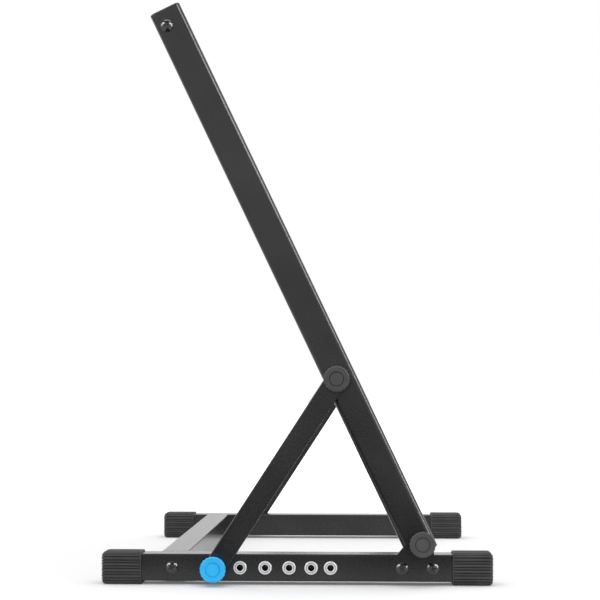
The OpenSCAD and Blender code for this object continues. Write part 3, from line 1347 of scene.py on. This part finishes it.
@dataclass
class Knobs:
    """The scalloped hand knobs at the pivots, the struts' tops and the angle holes.

    Each band of the rounded edge ends so far outside the flat face, and has a share of the
    scallops' full depth. Below the waist, the knob is drawn in to its root.
    """

    radius: float = 11.9
    root: float = 10.4
    waist: float = 1.0
    height: float = 14.0
    edge: float = 1.2
    back_round: float = 0.6
    scallops: int = 20
    scallop_radius: float = 1.5
    scallop_depth: float = 0.45
    facets: int = 8
    bands: Sequence[Span] = ((0.05, 0.25), (0.66, 0.5), (1.17, 0.85), (1.23, 1.0))
    ring_radius: float = 6.9
    ring_width: float = 1.0
    ring_depth: float = 0.8
    ring_wall: float = 0.25
    crown_width: float = 3.0
    crown_rise: float = 0.1
    spins: Sequence[tuple[str, float]] = (("pivot", 5.0), ("strut", 11.0), ("angle", 2.0))

    def dip(self, step: int) -> float:
        """Gives how deep a scallop is at a facet's distance from its middle.

        Args:
            step: Number of facets from the middle of the scallop.

        Returns:
            The depth.
        """
        aside = step * 2 * math.pi * self.radius / (self.scallops * self.facets)
        if aside >= self.scallop_radius:
            return 0.0
        bow = self.scallop_radius - math.sqrt(self.scallop_radius**2 - aside**2)
        return max(0.0, self.scallop_depth - bow)

    def on_scallop(self, vert: Vert, step: int, least: float, most: float) -> bool:
        """Says whether a point lies on one facet of any scallop, in one band of the rim.

        Args:
            vert: The point.
            step: Number of facets from the middle of a scallop.
            least: Distance from the axis at which the band starts.
            most: Distance at which it ends.

        Returns:
            Whether it lies there.
        """
        reach = math.hypot(vert.co.x, vert.co.y) / MM
        turn = math.atan2(vert.co.y, vert.co.x) / (2 * math.pi)
        place = round(turn * self.scallops * self.facets) % self.facets
        return least <= reach < most and min(place, self.facets - place) == step

    def carve_scallops(self, head: Piece) -> None:
        """Draws the rim in between its lobes, less so towards the face.

        Args:
            head: The knob, with its mesh open.
        """
        face = self.radius - self.edge
        least = face - self.bands[0][0]
        for width, share in self.bands:
            most = face + width
            for step in range(self.facets // 2):
                depth = self.dip(step) * share
                if depth:
                    head.pick(Pick.VERT, lambda v: self.on_scallop(v, step, least, most))
                    ratio = 1 - depth / self.radius
                    bpy.ops.transform.resize(value=(ratio, ratio, 1), center_override=ORIGIN)
            least = most

    def model(self) -> Piece:
        """Models a knob at the origin, with its face up along Z.

        Returns:
            The knob.
        """
        count = self.scallops * self.facets
        head = Piece.rod("knob", (0, 0, self.height / 2), self.radius, self.height, count)
        head.bevel(edges_past(Z_AXIS, self.height), self.edge, steps=4)
        head.bevel(edges_past(-Z_AXIS, 0.0), self.back_round, steps=2)
        with head.editing():
            head.pick(Pick.VERT, lambda vert: vert.co.z < self.waist * MM)
            ratio = self.root / self.radius
            bpy.ops.transform.resize(value=(ratio, ratio, 1), center_override=ORIGIN)
            head.pick(Pick.FACE, faces_to(Z_AXIS))
            margin = self.radius - self.edge - self.ring_radius
            sink_ring(margin, self.ring_width, self.ring_depth, self.ring_wall)
            inset(self.crown_width, self.crown_rise)
            self.carve_scallops(head)
        return head.smooth(angle=40.0)

    def build(self) -> None:
        """Sets copies of one knob on every stud."""
        master = self.model()
        for side in Side:
            for place, spin in self.spins:
                node = f"{side}_{place}_knob"
                x, _, z = node_middle(node)
                seat = min(abs(corner.y) for corner in node_box(node))
                name = f"{side}_{place}_scalloped_knob"
                knob = master.copy(name, side.outward((x, seat, z), spin))
                finish = BLUE_KNOB if place == "angle" else BLACK_KNOB
                knob.deliver(finish, f"{side}_{place}_knob_set", node)
        master.discard()


@dataclass
class InnerParts:
    """The CAD nodes that stay as they are: plugs, studs, washers, spacers and hidden nuts."""

    nylon: tuple[str, ...] = ("plugs", "spacer", "washer")
    zinc: tuple[str, ...] = ("stud", "pivot_nut", "strut_nut", "bracket_nuts")

    def build(self) -> None:
        """Gives each of these nodes its finish."""
        for endings, finish in ((self.nylon, BLACK_NYLON), (self.zinc, BRIGHT_ZINC)):
            for name, node in frame["nodes"].items():
                if name.endswith(endings):
                    node.data.materials.clear()
                    node.data.materials.append(finish.material())
                    log.info("%s in %s stays", name, finish.name)


@dataclass(frozen=True)
class Softbox:
    """A studio lamp with an oblong screen, aimed at the stand.

    A lamp for sheen only shows in glossy surfaces and leaves the even light to the room.
    """

    name: str
    place: Place
    aim: Place
    width: float
    height: float
    watts: float
    sheen_only: bool = True

    def hang(self) -> None:
        """Adds the lamp to the scene."""
        data = bpy.data.lights.new(self.name, "AREA")
        data.shape = "RECTANGLE"
        data.size = self.width * MM
        data.size_y = self.height * MM
        data.energy = self.watts
        lamp = bpy.data.objects.new(self.name, data)
        bpy.context.scene.collection.objects.link(lamp)
        lamp.location = metres(self.place)
        way = Vector(self.aim) - Vector(self.place)
        lamp.rotation_euler = way.to_track_quat("-Z", "Y").to_euler()
        lamp.visible_diffuse = not self.sheen_only


@dataclass
class Studio:
    """The floor, the lamps, the room round them and the camera.

    Image, focal and horizon are pixels, and the sensor is millimetres. Wall heights and
    backdrop turn are the Z and Y of the way one looks, from -1 to 1, and clip_end is metres.
    """

    image: float = 600.0
    focal: float = 1581.0
    horizon: float = 390.0
    sensor: float = 36.0
    clip_end: float = 100.0
    camera_place: Place = (59.8, -1686.4, 178.4)
    camera_pan: float = 2.24
    floor_side: float = 40000.0
    floor_tone: str = "#d4d4d5"
    mirrored_span: Span = (220.0, 1400.0)
    mirrored_glow: Span = (0.15, 0.9)
    seen_span: Span = (240.0, 900.0)
    seen_glow: Span = (0.1, 0.9)
    sheet_edge: Span = (-343.0, -385.0)
    table_tone: str = "#363637"
    table_sides: Span = (220.0, 400.0)
    room_edge: Span = (-650.0, -1000.0)
    room_tone: str = "#8a8a8b"
    backdrop: float = 1.1
    backdrop_turn: Span = (-0.3, 0.5)
    wall_heights: Span = (0.28, 0.6)
    room_front: float = 1.0
    room_top: float = 0.2
    room_fill: float = 1.1
    lamps: Sequence[Softbox] = (
        Softbox("right_softbox", (3654, -1627, 1960), (0, -200, 260), 1400, 2400, 95),
        Softbox("left_softbox", (-3654, -1627, 2200), (0, -200, 260), 1400, 2400, 56),
        Softbox("high_right_softbox", (2170, -2170, 2580), (0, -200, 100), 1500, 1300, 52),
        Softbox("high_left_softbox", (-2170, -2170, 2580), (0, -200, 100), 1500, 1300, 52),
        Softbox("top_softbox", (0, 0, 1900), (0, 0, 200), 1600, 1200, 14, sheen_only=False),
    )

    def lay_floor(self) -> None:
        """Lays a pale floor that the camera sees as white, with the stand's shadow on it."""
        bpy.ops.object.select_all(action="DESELECT")
        bpy.ops.mesh.primitive_plane_add(size=self.floor_side * MM)
        floor = bpy.context.object
        floor.name = "studio_floor"
        paper = bpy.data.materials.new("white_paper_sheet_matt")
        paper.use_nodes = True
        self.draw_floor(paper.node_tree)
        floor.data.materials.append(paper)

    def draw_floor(self, tree: Tree) -> None:
        """Draws a sheet of paper that lies on a table in a room.

        The camera sees the sheet alone, everywhere, with a glow that grows away from the stand.
        The table before the sheet's edge and the room beyond it are there for other rays.

        Args:
            tree: The node tree of the floor's material.
        """
        tree.nodes.clear()
        ray = add_node(tree, "ShaderNodeLightPath")
        seen = seen_ray(tree, ray)
        place = add_node(tree, "ShaderNodeTexCoord").outputs["Object"]
        reach = add_node(tree, "ShaderNodeVectorMath", {"operation": "LENGTH"}, {0: place})
        x, y, _ = add_node(tree, "ShaderNodeSeparateXYZ", inputs={0: place}).outputs

        def ramp(value: Socket, span: Span, levels: Span = (0.0, 1.0)) -> Socket:
            """Adds a soft ramp over a span."""
            return Ease.SOFT.ramp(tree, value, [edge * MM for edge in span], levels)

        ahead = ramp(calculate(tree, "ABSOLUTE", x), self.table_sides, (1.0, 0.0))
        off_sheet = calculate(tree, "MULTIPLY", ramp(y, self.sheet_edge), ahead)
        in_room = calculate(tree, "MULTIPLY", ramp(y, self.room_edge), ahead)
        tone = linear(self.floor_tone)
        for share, other in (
            (off_sheet, self.table_tone),
            (in_room, self.room_tone),
            (seen, self.floor_tone),
        ):
            tone = Mix.COLOUR.lay(tree, share, tone, linear(other))
        mirrored_glow = ramp(y, self.mirrored_span, self.mirrored_glow)
        seen_glow = ramp(reach.outputs["Value"], self.seen_span, self.seen_glow)
        level = calculate(tree, "MULTIPLY", ray.outputs["Is Glossy Ray"], mirrored_glow)
        level = Mix.LEVEL.lay(tree, off_sheet, level, 0.0)
        level = Mix.LEVEL.lay(tree, seen, level, seen_glow)
        matt = add_node(tree, "ShaderNodeBsdfDiffuse", inputs={"Color": tone})
        glow = add_node(tree, "ShaderNodeEmission", inputs={"Strength": level})
        shaders = {0: matt.outputs[0], 1: glow.outputs[0]}
        both = add_node(tree, "ShaderNodeAddShader", inputs=shaders)
        add_node(tree, "ShaderNodeOutputMaterial", inputs={"Surface": both.outputs[0]})

    def light_room(self) -> None:
        """Makes the room: a white backdrop behind the stand, and a duller room in front."""
        world = bpy.data.worlds.new("studio_room")
        bpy.context.scene.world = world
        world.use_nodes = True
        tree = world.node_tree
        tree.nodes.clear()
        ray = add_node(tree, "ShaderNodeLightPath")
        way = add_node(tree, "ShaderNodeTexCoord").outputs["Generated"]
        _, y, z = add_node(tree, "ShaderNodeSeparateXYZ", inputs={0: way}).outputs
        wall = Ease.SOFT.ramp(tree, z, self.wall_heights, (self.room_front, self.room_top))
        front = Mix.LEVEL.lay(tree, ray.outputs["Is Glossy Ray"], self.room_fill, wall)
        room = Ease.SOFT.ramp(tree, y, self.backdrop_turn, (front, self.backdrop))
        shown = Mix.LEVEL.lay(tree, seen_ray(tree, ray), room, 1.0)
        light = {"Color": (1, 1, 1, 1), "Strength": shown}
        glow = add_node(tree, "ShaderNodeBackground", inputs=light)
        add_node(tree, "ShaderNodeOutputWorld", inputs={"Surface": glow.outputs[0]})

    def set_camera(self) -> None:
        """Sets the camera at the photograph's place, level, with its frame raised."""
        data = bpy.data.cameras.new("photo_camera")
        data.sensor_width = self.sensor
        data.lens = self.focal / self.image * self.sensor
        data.shift_y = (self.horizon - self.image / 2) / self.image
        data.clip_end = self.clip_end
        camera = bpy.data.objects.new("photo_camera", data)
        bpy.context.scene.collection.objects.link(camera)
        camera.location = metres(self.camera_place)
        camera.rotation_euler = (math.pi / 2, 0, math.radians(self.camera_pan))
        bpy.context.scene.camera = camera

    def build(self) -> None:
        """Sets up the whole studio."""
        self.lay_floor()
        self.light_room()
        for lamp in self.lamps:
            lamp.hang()
        self.set_camera()
        bpy.context.scene.view_settings.view_transform = "Standard"


def main() -> None:
    """Builds the studio and every sub-assembly of the stand."""
    logging.basicConfig(level=logging.INFO, format="%(name)s: %(message)s")
    linkage = Linkage.from_frame()
    Studio().build()
    for group in (
        BaseFrame(linkage),
        Feet(),
        PivotBrackets(linkage),
        Screws(),
        RivetNuts(linkage),
        Arms(linkage),
        Struts(linkage),
        Knobs(),
        InnerParts(),
    ):
        log.info("building %s", type(group).__name__)
        group.build()


if __name__ == "__main__":
    main()
